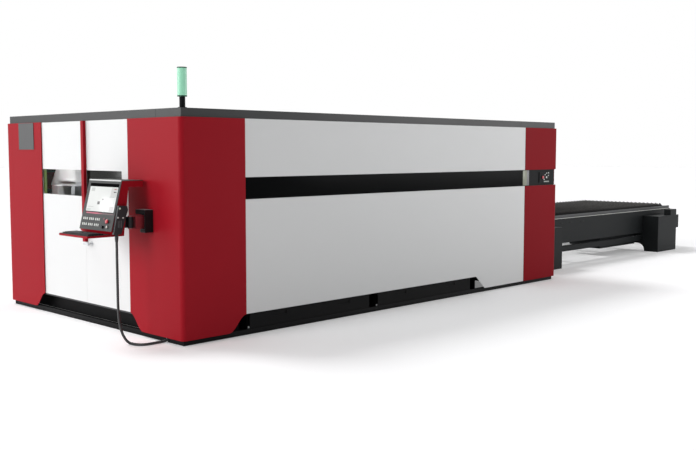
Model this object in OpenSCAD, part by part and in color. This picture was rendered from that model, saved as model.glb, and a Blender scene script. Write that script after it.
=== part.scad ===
// Flat-bed laser cutting machine: a closed cabin and a two-level pallet exchange table.
// Sizes are in millimetres. Plan places are measured from the cabin's near front corner:
// X runs from the operator's end to the table, Y from the near long side to the far one.
// Every module is drawn in that plan and then moved by in_frame() to the middle of the footprint.

/* [Cabin] */
// Length of the cabin
cabin_l = 6050; // [5950:1:6250]
// Width of the cabin over its side panels
cabin_w = 3302; // [3260:1:3420]
// Height of the panels' top edge
panel_top = 2021; // [1960:1:2120]
// Height of the red panels' bottom edge above the floor
panel_foot = 50; // [40:1:70]
// Height of the white panels' and the doors' bottom edge
sill_z = 207; // [205:1:240]
// Depth of the panels, from the red face to the cabin frame behind
skin_d = 30; // [26:1:40]
// Thickness of the panel sheet
sheet_t = 3; // [2:0.5:4]
// Step from the red face back to the white side panels
white_inset = 4; // [2:1:8]
// Bottom of the window strip
strip_lo = 1277; // [1240:1:1310]
// Top of the window strip
strip_hi = 1482; // [1450:1:1520]
// Step from the red face back to the window strip
strip_inset = 12; // [8:1:16]
// Thickness of the strip's glass
strip_glass_t = 6; // [4:1:8]
// Height of the dark roof fascia
fascia_h = 79; // [60:1:110]
// Step from the red face back to the fascia
fascia_inset = 28; // [15:1:29]

/* [Corner housings] */
// Length of the front corner housings along the side
corner_l = 717; // [660:1:800]
// Width of the near front corner housing across the operator's end
near_front_w = 840; // [800:1:860]
// Width of the far front corner housing across the operator's end
far_front_w = 792; // [760:1:820]
// Bend radius of the housings' vertical edges
corner_r = 40; // [20:1:60]
// Length of the rear corner panels along the side
rear_l = 749; // [700:1:790]
// Width of the rear corner panels across the table end
rear_w = 730; // [690:1:745]
// Height of the slanted cut at the housings' bottom edges
toe_h = 155; // [100:1:170]
// Length of that cut
toe_l = 205; // [150:1:240]
// Length of the deep part of the near side's lower panel
notch_l = 837; // [700:1:950]

/* [Cabin frame] */
// Size of the square tubes
tube = 80; // [60:2:90]
// Wall of the tubes
tube_wall = 5; // [3:0.5:8]
// Height of the rails behind the window strip
mid_rail_h = 50; // [40:1:60]
// Height of the rear opening above the floor, at its bottom
gate_lo = 300; // [290:1:320]
// Height of the rear opening's top edge
gate_hi = 1290; // [1250:1:1320]
// Thickness of the shutter
shutter_t = 18; // [12:1:24]
// Travel of the shutter
shutter_travel = 450; // [300:10:470]

/* [Base] */
// Height of the base beams' top face
base_top = 200; // [196:1:202]
// Height of the base beams' bottom face
base_low = 30; // [26:1:40]
// Width of the base beams
base_beam_w = 120; // [100:1:140]
// Diameter of a levelling foot
foot_d = 140; // [100:1:150]
// Diameter of a levelling foot's stud
foot_stud_d = 24; // [16:1:30]
// Diameter of the anchor holes
anchor_hole_d = 18; // [14:1:22]
// Distance of the anchor holes from the cabin's side faces
anchor_y = 360; // [330:1:420]
// Width of a slag drawer
drawer_w = 1560; // [1400:5:1580]
// Length of a slag drawer across the machine
drawer_l = 2400; // [2000:10:2600]
// Height of a slag drawer
drawer_h = 130; // [100:1:140]
// Sheet of a slag drawer
drawer_t = 4; // [3:0.5:6]

/* [Doors] */
// Step from the red face back to the door leaves
door_inset = 13; // [12:1:14]
// Depth of a door leaf
door_d = 30; // [25:1:32]
// Place of the meeting edge between the leaves
door_meet_y = 1645; // [1600:1:1680]
// Lap of a leaf behind the red housing beside it
door_lap = 30; // [20:1:60]
// Bottom of the door windows
window_lo = 1272; // [1240:1:1320]
// Top of the door windows
window_hi = 1532; // [1480:1:1600]
// Width of the stile beside the meeting edge, left leaf
stile_left = 55; // [45:1:80]
// Width of the stile beside the meeting edge, right leaf
stile_right = 35; // [30:1:60]
// Width of the right leaf's window
window_right_w = 642; // [560:1:660]
// Thickness of the window glass
glass_t = 6; // [4:1:8]
// Lap of the glass behind the sheet
glass_lap = 15; // [10:1:20]
// Width of the red trim strip
trim_w = 48; // [40:1:60]
// Stand-out of the trim strip from the red face
trim_out = 20; // [12:1:24]
// Bottom of the trim strip
trim_lo = 822; // [810:1:900]
// Height of the handle's spindle
handle_z = 808; // [780:1:812]
// Distance of the handle's spindle from the meeting edge
handle_y = 110; // [95:1:120]
// Length of the lever past its spindle
lever_l = 75; // [60:1:106]
// Diameter of the handle's spindle
spindle_d = 16; // [12:1:20]

/* [Small pieces on the cabin] */
// Side of the plain square plate
plate_w = 338; // [280:1:345]
// Height of the plain square plate
plate_h = 283; // [220:1:290]
// Diameter of the signal lamp
lamp_d = 84; // [60:1:90]
// Height of the signal lamp
lamp_h = 257; // [200:1:300]
// Diameter of the lamp's pole
pole_d = 52; // [38:1:56]
// Height of the lamp's pole
pole_h = 100; // [70:1:160]
// Bore of the extraction duct
duct_d = 250; // [200:1:280]
// Wall of the extraction duct
duct_wall = 3; // [2:0.5:5]

/* [Console] */
// Width of the console housing
console_w = 550; // [520:1:600]
// Tilt of the console's face
face_tilt = 14.4; // [10:0.1:18]
// Length of the face, measured along its slope
face_l = 455; // [430:1:480]
// Width of the screen
screen_w = 484; // [440:1:490]
// Height of the screen along the slope
screen_h = 270; // [230:1:280]
// Depth of the keyboard tray in front of the face
tray_out = 238; // [200:1:260]
// Width of the keyboard tray
tray_w = 490; // [460:1:520]
// Height of the keyboard tray
tray_h = 18; // [12:1:20]
// Diameter of the console's stop button
stop_d = 40; // [32:1:44]
// Travel of the push buttons
button_travel = 4; // [2:0.5:5]
// Diameter of the black knob
knob_d = 26; // [20:1:30]

/* [Console arm] */
// Height of the arm's bottom face
arm_z = 1028; // [1018:1:1034]
// Height of the arm
arm_h = 120; // [100:1:122]
// Width of the arm
arm_w = 50; // [44:1:56]
// Distance between the arm's two pivots
arm_l = 145; // [140:1:160]
// Distance of the wall pivot from the red face
pivot_out = 45; // [40:1:50]
// Diameter of the wall pivot
pivot_d = 30; // [20:1:32]
// Running clearance of pins in their bores, on the radius
pin_clear = 0.05; // [0.03:0.01:0.08]

/* [Gantry] */
// Height of the bed's top face
bed_top = 1080; // [1040:1:1100]
// Height of the gantry beam
gantry_h = 281; // [240:1:300]
// Width of the gantry beam along the machine
gantry_w = 250; // [220:1:280]
// Height of the gantry rail
rail_h = 36; // [30:1:40]
// Width of the gantry rail
rail_w = 34; // [28:1:40]
// Length of the cross carriage
carriage_l = 300; // [260:1:340]
// Place of the cross carriage's middle at rest
carriage_y = 2050; // [1980:1:2080]
// Height of the nozzle's tip above the upper pallet's slats
nozzle_gap = 103; // [100:1:150]

/* [Exchange table] */
// Length of the table past the cabin
table_l = 5150; // [5050:1:5250]
// Width over the table's side beams
table_w = 1672; // [1620:1:1690]
// Height of the side beams' top
beam_top = 700; // [690:1:710]
// Height of the side beams
beam_h = 380; // [360:1:400]
// Thickness of the side beams' plate
beam_t = 12; // [10:1:14]
// Height of the raised band along the beam's top
band_h = 90; // [60:1:110]
// Stand-out of that band
band_out = 6; // [3:1:8]
// Height of the upper pallet rail
upper_rail_z = 660; // [655:1:664]
// Height of the lower pallet rail
lower_rail_z = 450; // [446:1:456]
// Width of the pallet rails
pallet_rail_w = 70; // [66:1:78]
// Length of a leg box
leg_l = 685; // [600:1:760]
// Height of a leg box
leg_h = 610; // [560:1:615]
// Stand-out of a leg box from the beam
leg_out = 285; // [240:1:300]
// Distance of the far leg boxes' outer end from the table's end
leg_end_gap = 355; // [300:1:400]
// Distance of the near leg boxes from the cabin
leg_start_gap = 362; // [330:1:500]
// Height of the arch between a pair of legs
arch_z = 135; // [100:1:160]
// Thickness of the arched plate between a pair of legs
arch_t = 40; // [20:1:60]
// Size of the lower tie tubes
tie_tube = 80; // [60:1:90]
// Height of the tie tubes' bottom
tie_z = 185; // [170:1:190]

/* [Pallets] */
// Length of a pallet
pallet_l = 4450; // [4300:10:4480]
// Clearance between a pallet and the side beams, each side
pallet_clear = 5; // [4:1:8]
// Width of a pallet's side member
pallet_side = 25; // [20:1:28]
// Height of a pallet's frame
pallet_h = 60; // [50:1:64]
// Length of the closed frame at each end of a pallet
pallet_end = 150; // [100:1:180]
// Diameter of a pallet's wheels
wheel_d = 50; // [44:1:52]
// Spacing of the slats
slat_pitch = 100; // [80:1:140]
// Thickness of a slat
slat_t = 5; // [3:0.5:8]
// Spacing of the slats' teeth
tooth_pitch = 78; // [60:1:120]
// Depth of the slats' teeth
tooth_d = 40; // [20:1:44]
// Height of the teeth above the frame
slat_rise = 52; // [40:1:56]

/* [Cable] */
// Diameter of the console's conduit
cable_d = 25; // [16:1:25]

/* [Hidden] */
$fn = 32;

// Small fixed sizes
panel_gap = 3;          // joint between neighbouring panels
slide_gap = 0.3;        // running gap of slides and wheels on their rails
door_return = 8;        // fold at the housings' door edges, short of the leaves
mid_gap = 2;            // joint between the two door leaves
post_front = 50;        // step from the red face back to the front posts
foot_pad_h = 12;        // thickness of a levelling foot
lug_t = 12;             // thickness of an anchor lug
lug_w = 100;            // width of an anchor lug
lug_out = 80;           // stand-out of an anchor lug from its beam
plate_t = 5;            // thickness of the plain square plate
frame_z = 25;           // height of a pallet's frame above its rail

// Cabin
rear_x = cabin_l - rear_l;
frame_end = cabin_l - skin_d;
inner_w = cabin_w - 2 * skin_d;
far_front_y = cabin_w - far_front_w;
post_a = corner_l - tube / 2;
post_b = rear_x - tube / 2;
post_x = [post_front, post_a, post_a + (post_b - post_a) / 3, post_b - (post_b - post_a) / 3, post_b, frame_end - tube];
frame_top = panel_top - tube;
rail_top = base_top + tube;
toe_steps = 10;

// Base
drawer_side = 50;
drawer_bay = drawer_w + 2 * drawer_side;
base_a = 660;
base_b = base_a + base_beam_w + drawer_bay;
base_c = base_b + base_beam_w + drawer_bay;
base_e = frame_end - tube - base_beam_w;
base_x = [140, base_a, base_b, base_c, (base_c + base_e) / 2, base_e];
base_y0 = 60;
base_y1 = cabin_w - base_y0;
drawer_flange = 30;
drawer_z = base_top - 10 - drawer_h;
ledge_t = 10;
foot_y = 150;
anchor_x0 = base_x[0] + base_beam_w + lug_out / 2;
anchor_x1 = base_x[5] - lug_out / 2;

// Doors
leaf_r0 = near_front_w - door_lap;
leaf_r1 = door_meet_y;
leaf_l0 = door_meet_y + mid_gap;
leaf_l1 = far_front_y + door_lap;
leaf_top = panel_top - panel_gap;
window_r1 = door_meet_y - stile_right;
window_r0 = window_r1 - window_right_w;
window_l0 = door_meet_y + stile_left;
window_l1 = leaf_l1 - 25;
spindle_y = door_meet_y - handle_y;
track_t = 10;

// Console and its arm
arm_y = 510;
swivel_x = -pivot_out - arm_l;
face_x = swivel_x - 182;
face_z = 1021;
console_y = arm_y + 20;
face_top_x = face_x + face_l * sin(face_tilt);
face_top_z = face_z + face_l * cos(face_tilt);
hood_back = -40;
hood_h = 59;
console_low = arm_z - 43;
back_low_x = swivel_x - 53;
back_top_x = swivel_x - 1;
function back_x(z) = back_low_x + (back_top_x - back_low_x) * (z - console_low) / (face_top_z - hood_h - console_low);
face_low = 10;
face_t = 6;
module_out = 30;
tongue_t = 10;
swivel_d = 24;
bracket_w = 154;
bracket_y = arm_y - 74;
bracket_out = 86;
web_t = 10;
flange_t = 42;
flange_low_t = 30;
flange_low_w = 98;
flange_r = 24;
ring_low = 8;
ring_top = 6;

// Bed, gantry and head
table_y = (cabin_w - table_w) / 2;
bed_y = 400;
bed_x0 = 300;
bed_x1 = cabin_l - bed_x0 - 8;
bed_wall = 12;
rail_y = bed_y + 70;
gantry_x = 350;
gantry_z = bed_top + 259;
gantry_over = 87;
gantry_y0 = bed_y - gantry_over;
gantry_rake = 190;
end_l = 400;
end_side = 40;
guide_l = 80;
guide_side = 20;
guide_fit = 0.5;
gantry_motor_d = 90;
gantry_motor_h = 170;
cross_rail_t = 10;
cross_rail_w = 24;
carriage_d = 125;
slide_w = 90;
slide_t = 10;
head_w = 70;
head_plate_w = 110;
head_plate_t = 30;
head_drop = 150;
tip_z = upper_rail_z + frame_z + pallet_h + slat_rise + nozzle_gap;

// Exchange table and pallets
web_y = table_y + band_out;
beam_in = web_y + beam_t;
rail_in = beam_in + pallet_rail_w;
table_end = cabin_l + table_l;
table_x0 = cabin_l + 42;
beam_low = beam_top - beam_h;
ledge_leg = 60;
cross_step = 1600;
cross_x = [table_x0 + 50, table_x0 + 50 + cross_step, table_x0 + 50 + 2 * cross_step, table_end - 110];
cross_s = 100;
shaft_x = table_end - 1300;
shaft_z = beam_low + 40;
shaft_d = 30;
sprocket_d = 80;
drive_l = 1200;
drive_w = 350;
drive_h = 200;
drive_motor_d = 150;
drive_motor_l = 240;
leg_x = [cabin_l + leg_start_gap, table_end - leg_end_gap - leg_l];
leg_in = table_y - 37;
arch_r = arch_z - 15;
pallet_y = beam_in + pallet_clear;
pallet_w = cabin_w - 2 * pallet_y;
level_step = upper_rail_z - lower_rail_z;
upper_x = table_end - pallet_l;
lower_x = bed_x0 + 650;
pallet_travel = upper_x - lower_x;
slat_ledge = 40;
slat_n = floor((pallet_l - 2 * pallet_end) / slat_pitch);
slat_x0 = (pallet_l - (slat_n - 1) * slat_pitch - slat_t) / 2;
slat_gap = 3;
slat_l = pallet_w - 2 * (pallet_side + slat_gap);
tooth_n = floor(slat_l / tooth_pitch);
slat_foot = wheel_d + 8;
ledge_h = 6;
slat_top = frame_z + pallet_h + slat_rise;

// The middle of the footprint
x_mid = (table_end + face_x - tray_out) / 2;

// Route of the conduit, from the console's side module down to the floor and back under the cabin
route = [
  [-330, 515, 964], [-330, 515, 900], [-330, 515, 700], [-330, 514, 500], [-330, 512, 350], [-326, 506, 220],
  [-312, 492, 120], [-288, 470, 50], [-266, 442, 18], [-258, 405, 13], [-252, 365, 13], [-232, 326, 13],
  [-190, 302, 13], [-130, 294, 13], [-60, 295, 13], [0, 298, 14], [40, 300, 22], [75, 300, 35], [100, 300, 40], [112, 300, 40]
];
cable_sides = 10;
cable_steps = 3;

// Moves the plan to the middle of the footprint
module in_frame() { translate([-x_mid, -cabin_w / 2, 0]) children(); }

// The far side's copy of a near-side shape
module far_side() { translate([0, cabin_w, 0]) mirror([0, 1, 0]) children(); }

module both_sides() { children(); far_side() children(); }

// A shape drawn in X and Z, from y0 to y1
module xz(y0, y1) { translate([0, y1, 0]) rotate([90, 0, 0]) linear_extrude(y1 - y0) children(); }

// A shape drawn in Y and Z, from x0 to x1
module yz(x0, x1) { translate([x0, 0, 0]) rotate([90, 0, 90]) linear_extrude(x1 - x0) children(); }

// A block between two corners
module block(a, b) { translate(a) cube(b - a); }

// Square tubes, open at their ends
module tube_x(x0, x1, y, z, s = tube, w = tube_wall) {
  difference() {
    block([x0, y, z], [x1, y + s, z + s]);
    block([x0 - 1, y + w, z + w], [x1 + 1, y + s - w, z + s - w]);
  }
}

module tube_y(y0, y1, x, z, s = tube, w = tube_wall) {
  difference() {
    block([x, y0, z], [x + s, y1, z + s]);
    block([x + w, y0 - 1, z + w], [x + s - w, y1 + 1, z + s - w]);
  }
}

module tube_z(z0, z1, x, y, s = tube, w = tube_wall) {
  difference() {
    block([x, y, z0], [x + s, y + s, z1]);
    block([x + w, y + w, z0 - 1], [x + s - w, y + s - w, z1 + 1]);
  }
}

// A sheet panel of a long side, folded back all round
module side_pan(x0, x1, z0, z1, y, t = sheet_t) {
  difference() {
    block([x0, y, z0], [x1, skin_d, z1]);
    block([x0 + t, y + t, z0 + t], [x1 - t, skin_d + 1, z1 - t]);
  }
}

// Plan outline with one rounded corner at the origin
module bend_outline(l, w, r) {
  difference() {
    square([l, w]);
    difference() {
      square(r);
      translate([r, r]) circle(r);
    }
  }
}

// Plan section of a corner housing: l along the side, w across the end, with a fold at each edge
module corner_section(l, w, fold) {
  difference() {
    bend_outline(l, w, corner_r);
    translate([sheet_t, sheet_t]) bend_outline(l, w, corner_r - sheet_t);
  }
  translate([l - sheet_t, 0]) square([sheet_t, skin_d]);
  translate([0, w - sheet_t]) square([fold, sheet_t]);
}

// The slanted lower corner that is cut off a housing's edge at distance l
module toe_outline(l) {
  polygon(concat(
    [for (i = [0 : toe_steps]) let (t = i / toe_steps)
      [l - toe_l * t, panel_foot + toe_h * (1 + cos(180 * t)) / 2]],
    [[l - toe_l, panel_foot - 1], [l + 1, panel_foot - 1], [l + 1, panel_foot + toe_h]]
  ));
}

module front_corner(w) {
  difference() {
    translate([0, 0, panel_foot]) linear_extrude(panel_top - panel_foot) corner_section(corner_l, w, door_return);
    xz(-1, skin_d + 1) toe_outline(corner_l);
    yz(-1, skin_d + 1) toe_outline(w);
  }
}

module rear_corner(z0, z1) {
  translate([cabin_l, 0, z0]) mirror([1, 0, 0]) linear_extrude(z1 - z0) corner_section(rear_l, rear_w, skin_d);
}

// The upper rear housing also covers the strip's height on the table end
module rear_corner_upper() {
  rear_corner(strip_hi, panel_top);
  block([cabin_l - sheet_t, corner_r, strip_lo + panel_gap], [cabin_l, rear_w, strip_hi + 1]);
  block([cabin_l - skin_d, rear_w - sheet_t, strip_lo + panel_gap], [cabin_l, rear_w, strip_hi + 1]);
}

module side_upper() {
  side_pan(corner_l + panel_gap, rear_x - panel_gap, strip_hi, panel_top, white_inset);
}

// The lower side panel reaches down to the foot at its rear end, past a slanted step
module side_lower() {
  x0 = corner_l + panel_gap;
  x1 = rear_x - panel_gap;
  xz(white_inset, white_inset + sheet_t) polygon([
    [x0, sill_z], [x1 - notch_l - 175, sill_z], [x1 - notch_l, panel_foot], [x1, panel_foot],
    [x1, strip_lo], [x0, strip_lo]
  ]);
  block([x0, white_inset, strip_lo - sheet_t], [x1, skin_d, strip_lo]);
  block([x0, white_inset, sill_z], [x0 + sheet_t, skin_d, strip_lo]);
  block([x1 - sheet_t, white_inset, panel_foot], [x1, skin_d, strip_lo]);
}

module strip(x1) {
  side_pan(corner_l + panel_gap, x1, strip_lo + 1, strip_hi - 1, strip_inset, strip_glass_t);
}

// Cabin structure

module base_frame() {
  color("#1c1d1e") in_frame() {
    for (x = base_x) difference() {
      block([x, base_y0, base_low], [x + base_beam_w, base_y1, base_top]);
      block([x + tube_wall, base_y0 - 1, base_low + tube_wall], [x + base_beam_w - tube_wall, base_y1 + 1, base_top - tube_wall]);
    }
    block([base_x[0], base_y1 - base_beam_w, base_low], [base_x[5], base_y1, base_top]);
    // Ledges that carry the slag drawers
    for (x = [base_x[1], base_x[2]])
      block([x + base_beam_w, base_y0, drawer_z + drawer_h - drawer_t - ledge_t - slide_gap],
        [x + base_beam_w + drawer_side - 6, drawer_l + base_y0, drawer_z + drawer_h - drawer_t - slide_gap]);
    for (x = [base_x[2], base_x[3]])
      block([x - drawer_side + 6, base_y0, drawer_z + drawer_h - drawer_t - ledge_t - slide_gap],
        [x, drawer_l + base_y0, drawer_z + drawer_h - drawer_t - slide_gap]);
    // Anchor lugs with their holes
    for (x = [anchor_x0, anchor_x1], y = [anchor_y, cabin_w - anchor_y]) difference() {
      block([x - lug_out / 2, y - lug_w / 2, base_low], [x + lug_out / 2, y + lug_w / 2, base_low + lug_t]);
      translate([x, y, base_low - 1]) cylinder(d = anchor_hole_d, h = lug_t + 2);
    }
  }
}

module levelling_feet() {
  color("#3a3c3e") in_frame() for (x = base_x, y = [foot_y, cabin_w - foot_y]) translate([x + base_beam_w / 2, y, 0]) {
    cylinder(d = foot_d, h = foot_pad_h);
    cylinder(d = foot_stud_d, h = base_low);
  }
}

module cabin_frame() {
  color("#26282a") in_frame() {
    both_sides() {
      for (x = post_x) tube_z(rail_top, frame_top, x, skin_d);
      tube_x(post_front, frame_end, skin_d, base_top);
      tube_x(post_front, frame_end, skin_d, frame_top);
      for (z = [strip_lo + 5 - mid_rail_h, strip_hi - 5])
        block([post_front + tube, skin_d, z], [frame_end - tube, skin_d + mid_rail_h, z + mid_rail_h]);
      tube_z(rail_top, frame_top, frame_end - tube, rear_w - tube);
    }
    for (x = [post_front, frame_end - tube], z = [base_top, frame_top])
      tube_y(skin_d + tube - tube_wall, cabin_w - skin_d - tube + tube_wall, x, z);
    // Guides of the rear shutter
    both_sides() shutter_guide();
    // Bottom track of the sliding doors
    block([door_inset + 5, skin_d + tube, base_top - track_t], [post_front + tube, cabin_w - skin_d - tube, base_top]);
    block([door_inset + 5, skin_d + tube, base_top - 1], [door_inset + 25, cabin_w - skin_d - tube, sill_z - slide_gap]);
  }
}

shutter_x = frame_end - tube - 28;
guide_z0 = gate_hi - shutter_travel - 10;

module shutter_guide() {
  difference() {
    block([frame_end - tube - 40, rear_w - tube + 10, guide_z0], [frame_end - tube, rear_w - 20, frame_top]);
    block([shutter_x - slide_gap, rear_w - tube + 25, guide_z0 - 1],
      [shutter_x + shutter_t + slide_gap, rear_w, frame_top + 1]);
  }
}

module front_corner_near() { color("#9c1b22") in_frame() front_corner(near_front_w); }
module front_corner_far() { color("#a8262c") in_frame() far_side() front_corner(far_front_w); }
module rear_corner_near_upper() { color("#9c1b22") in_frame() rear_corner_upper(); }
module rear_corner_near_lower() { color("#9c1b22") in_frame() rear_corner(panel_foot, strip_lo); }
module rear_corner_far_upper() { color("#9c1b22") in_frame() far_side() rear_corner_upper(); }
module rear_corner_far_lower() { color("#9c1b22") in_frame() far_side() rear_corner(panel_foot, strip_lo); }
module side_panel_near_upper() { color("#eceded") in_frame() side_upper(); }
module side_panel_near_lower() { color("#eceded") in_frame() side_lower(); }
module side_panel_far_upper() { color("#eceded") in_frame() far_side() side_upper(); }

duct_x = rear_x - 451;
duct_z = base_top + 420;

module side_panel_far_lower() {
  color("#eceded") in_frame() difference() {
    far_side() side_lower();
    translate([duct_x, cabin_w - skin_d, duct_z]) rotate([-90, 0, 0]) cylinder(d = duct_d + 2 * duct_wall + 4, h = skin_d + 1);
  }
}

module window_strip_near() { color("#101214") in_frame() strip(rear_x + 50); }
module window_strip_far() { color("#101214") in_frame() far_side() strip(frame_end - 10); }

module roof() {
  top = panel_top + fascia_h;
  a = fascia_inset;
  t = sheet_t;
  color("#2b2d2e") in_frame() difference() {
    union() {
      difference() {
        block([a, a, panel_top], [cabin_l - a, cabin_w - a, top]);
        block([a + t, a + t, panel_top - 1], [cabin_l - a - t, cabin_w - a - t, top - t]);
      }
      difference() {
        block([a, a, panel_top], [cabin_l - a, cabin_w - a, panel_top + t]);
        block([a + 60, a + 60, panel_top - 1], [cabin_l - a - 60, cabin_w - a - 60, panel_top + t + 1]);
      }
    }
    // Joints between the fascia's lengths
    block([rear_x - 75, a - 1, panel_top + t], [rear_x - 72, a + 1.5, top + 1]);
    block([rear_x - 75, cabin_w - a - 1.5, panel_top + t], [rear_x - 72, cabin_w - a + 1, top + 1]);
    block([a - 1, 411, panel_top + t], [a + 1.5, 414, top + 1]);
  }
}

module rear_header() {
  y0 = rear_w + panel_gap;
  color("#eceded") in_frame() difference() {
    block([frame_end, y0, gate_hi], [cabin_l - white_inset, cabin_w - y0, panel_top]);
    block([frame_end - 1, y0 + sheet_t, gate_hi + sheet_t], [cabin_l - white_inset - sheet_t, cabin_w - y0 - sheet_t, panel_top - sheet_t]);
  }
}

module rear_shutter() {
  y0 = rear_w - tube + 28;
  color("#b9bcbe") in_frame() {
    block([shutter_x, y0, gate_hi], [shutter_x + shutter_t, cabin_w - y0, frame_top - 10]);
    // Stiffening ribs
    for (z = [gate_hi + 60 : 160 : frame_top - 100])
      block([shutter_x - 8, rear_w + 20, z], [shutter_x, cabin_w - rear_w - 20, z + 30]);
  }
}

// Rear control panel in the strip's recess

ctrl_y = skin_d - sheet_t;
ctrl_x0 = rear_x + 50 + panel_gap;
ctrl_box_x = rear_x + 359;
ctrl_box_w = 230;
ctrl_stop_x = ctrl_box_x + 70;
ctrl_white_x = ctrl_box_x + 160;
ctrl_z = (strip_lo + strip_hi) / 2;
ctrl_box_h = 135;
stem_d = 16;

module cross_y(x, y, z, d, l) { translate([x, y, z]) rotate([-90, 0, 0]) cylinder(d = d, h = l); }

module rear_control_panel() {
  color("#1d1e20") in_frame() difference() {
    union() {
      block([ctrl_x0, ctrl_y, strip_lo + 1], [frame_end - 10, skin_d, strip_hi - 1]);
      block([ctrl_box_x, ctrl_y - 9, ctrl_z - ctrl_box_h / 2], [ctrl_box_x + ctrl_box_w, ctrl_y, ctrl_z + ctrl_box_h / 2]);
    }
    for (x = [ctrl_stop_x, ctrl_white_x]) cross_y(x, ctrl_y - 10, ctrl_z, stem_d + 2 * pin_clear, skin_d);
  }
}

module rear_stop_button() {
  color("#c21f22") in_frame() {
    cross_y(ctrl_stop_x, ctrl_y - 20 - button_travel, ctrl_z, 38, 10);
    cross_y(ctrl_stop_x, ctrl_y - 15, ctrl_z, stem_d, 17);
  }
}

module rear_white_button() {
  color("#e8e8e8") in_frame() {
    cross_y(ctrl_white_x, ctrl_y - 14 - button_travel, ctrl_z, 26, 4);
    cross_y(ctrl_white_x, ctrl_y - 15, ctrl_z, stem_d, 17);
  }
}

// Doors

module leaf(y0, y1, w0, w1) {
  difference() {
    block([door_inset, y0, sill_z], [door_inset + door_d, y1, leaf_top]);
    block([door_inset + sheet_t, y0 + sheet_t, sill_z + sheet_t], [door_inset + door_d + 1, y1 - sheet_t, leaf_top - sheet_t]);
    block([door_inset - 1, w0, window_lo], [door_inset + sheet_t + 1, w1, window_hi]);
  }
}

module pane(w0, w1) {
  block([door_inset + sheet_t, w0 - glass_lap, window_lo - glass_lap],
    [door_inset + sheet_t + glass_t, w1 + glass_lap, window_hi + glass_lap]);
}

module left_door() { color("#f1f2f2") in_frame() leaf(leaf_l0, leaf_l1, window_l0, window_l1); }

module right_door() {
  color("#f1f2f2") in_frame() difference() {
    leaf(leaf_r0, leaf_r1, window_r0, window_r1);
    translate([door_inset - 1, spindle_y, handle_z]) rotate([0, 90, 0]) cylinder(d = spindle_d + 2 * pin_clear, h = sheet_t + 2);
    // Shallow bead line beside the stile
    block([door_inset - 1, spindle_y + 4, window_hi + 100], [door_inset + 1, spindle_y + 20, leaf_top + 1]);
  }
}

module left_door_glass() { color("#1a2220") in_frame() pane(window_l0, window_l1); }
module right_door_glass() { color("#1a2220") in_frame() pane(window_r0, window_r1); }

// The trim is carried by the left leaf and laps over the right one with a gap
module door_trim() {
  y1 = leaf_l0 + 10;
  color("#9c1b22") in_frame() {
    block([-trim_out, y1 - trim_w, trim_lo], [door_inset - 1, y1, leaf_top]);
    block([door_inset - 2, leaf_l0, trim_lo], [door_inset, y1, leaf_top]);
  }
}

module door_handle() {
  color("#d9dadb") in_frame() translate([0, spindle_y, handle_z]) {
    rotate([0, 90, 0]) translate([0, 0, -40]) cylinder(d = spindle_d, h = 40 + door_inset + sheet_t + 8);
    translate([door_inset - 6, 0, 0]) rotate([0, 90, 0]) cylinder(d = 44, h = 5.5);
    yz(-44, -30) hull() {
      circle(16);
      translate([lever_l - 12, 0]) circle(12);
    }
  }
}

module blank_plate() {
  y = far_front_y + 158;
  z = panel_top - 3 - plate_h;
  color("#2a2b2c") in_frame() block([-plate_t, y, z], [0, y + plate_w, z + plate_h]);
}

lamp_x = 118;
lamp_y = 130;
lamp_z = panel_top + fascia_h;

module signal_pole() {
  color("#202122") in_frame() translate([lamp_x, lamp_y, lamp_z]) {
    cylinder(d = pole_d + 26, h = 8);
    cylinder(d = pole_d, h = pole_h);
  }
}

module signal_lamp() {
  color("#9adbb8") in_frame() translate([lamp_x, lamp_y, lamp_z + pole_h]) {
    cylinder(d = lamp_d - 8, h = 10);
    translate([0, 0, 9]) cylinder(d = lamp_d, h = lamp_h - 21);
    translate([0, 0, lamp_h - 12]) cylinder(d1 = lamp_d, d2 = lamp_d - 10, h = 12, $fn = 64);
  }
}

// Console

// Face coordinates: X up the slope, Y from the housing's near side, Z out of the face
module on_face() { translate([face_x, console_y, face_z]) rotate([0, face_tilt, 0]) rotate([0, -90, 0]) children(); }

// Places on the face: up the slope and across
stop_at = [76, 85];
knob_at = [24, 151];
start_at = [28, 76];
screen_at = [152, 22];

module face_holes(l) {
  for (p = [stop_at, knob_at, start_at])
    translate([p[0], p[1], -l]) cylinder(d = stem_d + 2 * pin_clear, h = l + 1);
}

// Back of the face plate, where it lies on the housing, and its lower edge
function plate_x(z) = face_x + face_t / cos(face_tilt) + (z - face_z) * tan(face_tilt);
face_low_x = face_x - face_low * sin(face_tilt);
face_low_z = face_z - face_low * cos(face_tilt);

module console_housing() {
  top = face_top_z - face_t;
  color("#a3202a") in_frame() difference() {
    xz(console_y, console_y + console_w) polygon([
      [plate_x(face_low_z), face_low_z], [plate_x(top), top], [hood_back, top], [hood_back, face_top_z - hood_h],
      [back_top_x, face_top_z - hood_h], [back_low_x, console_low], [face_x + 20, console_low]
    ]);
    on_face() face_holes(28);
  }
}

// Grey front plate, bent back over the console's top
module console_face() {
  top = face_top_z - face_t;
  color("#6c6e6f") in_frame() difference() {
    xz(console_y, console_y + console_w) polygon([
      [face_low_x, face_low_z], [face_top_x, face_top_z], [hood_back, face_top_z], [hood_back, top],
      [plate_x(top), top], [plate_x(face_low_z), face_low_z]
    ]);
    on_face() translate([screen_at[0], screen_at[1], -3]) cube([screen_h, screen_w, 4]);
    on_face() face_holes(face_t + 3);
  }
}

module console_screen() {
  color("#16181a") in_frame() on_face() translate([screen_at[0], screen_at[1], -3]) cube([screen_h, screen_w, 3]);
}

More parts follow.
